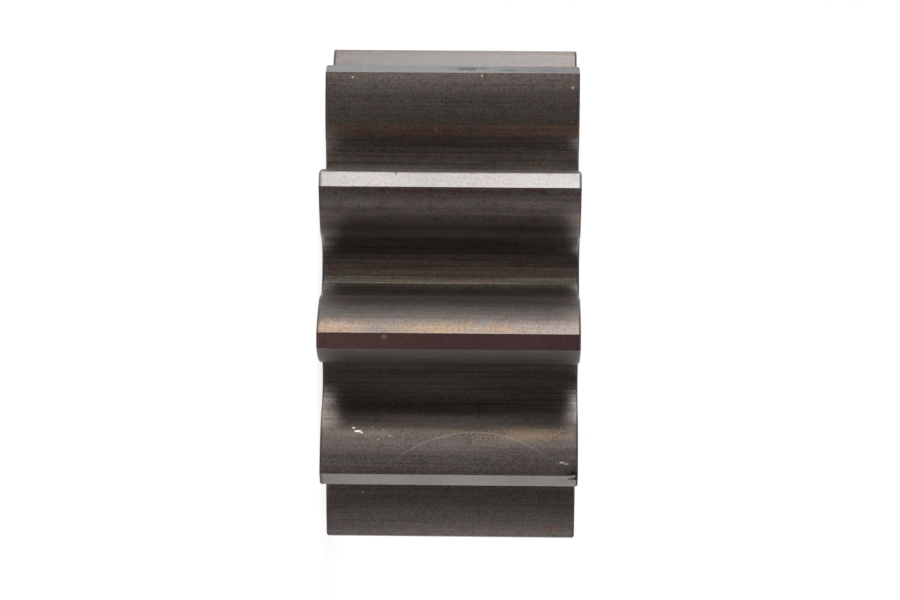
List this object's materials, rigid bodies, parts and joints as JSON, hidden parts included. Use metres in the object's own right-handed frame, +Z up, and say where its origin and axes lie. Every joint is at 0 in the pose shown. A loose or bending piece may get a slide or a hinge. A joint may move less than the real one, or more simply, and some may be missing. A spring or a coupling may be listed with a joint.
{
  "type": "oil pump idler gear",
  "caption": "Straight-cut spur gear for a gear-type oil pump, in one piece, with a plain bore that runs on a fixed shaft and flat ground end faces.",
  "frame": {"origin": "centre of the bore, in the plane of the lower end face", "axes": "+Z up along the bore axis; +X through the middle of one tooth; the gear stands on its end face"},
  "size_m": [0.0508, 0.0488, 0.0254],
  "materials": {
    "steel": "dark, oil-stained steel with bare ground tip lands, end faces and bore"
  },
  "bodies": {
    "root": {"idler_gear": "steel"}
  },
  "joints": []
}
